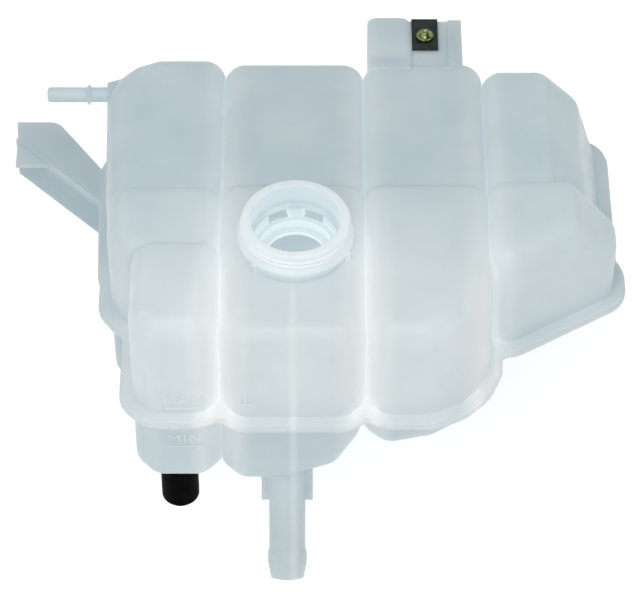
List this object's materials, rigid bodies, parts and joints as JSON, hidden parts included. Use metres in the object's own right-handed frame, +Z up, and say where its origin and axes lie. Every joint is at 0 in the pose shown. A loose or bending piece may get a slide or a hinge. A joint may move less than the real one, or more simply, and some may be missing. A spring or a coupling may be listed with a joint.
{
  "type": "coolant expansion tank",
  "caption": "Translucent welded plastic coolant tank of rounded cells, with a threaded filler neck, hose nipples, a clip tab, a bracket arm and a rubber foot.",
  "frame": {"origin": "on the filler axis at the rim of the neck", "axes": "+Z up out of the filler neck, +Y to the back, where the clip tab is, +X to the right"},
  "size_m": [0.3173, 0.2492, 0.181],
  "materials": {
    "tank_plastic": "satin",
    "clip_steel": "satin",
    "nut_zinc": "satin",
    "foot_rubber": "matte"
  },
  "bodies": {
    "root": {"upper_shell": "tank_plastic", "lower_shell": "tank_plastic", "spring_clip": "clip_steel", "captive_nut": "nut_zinc", "rubber_foot": "foot_rubber"}
  },
  "joints": []
}
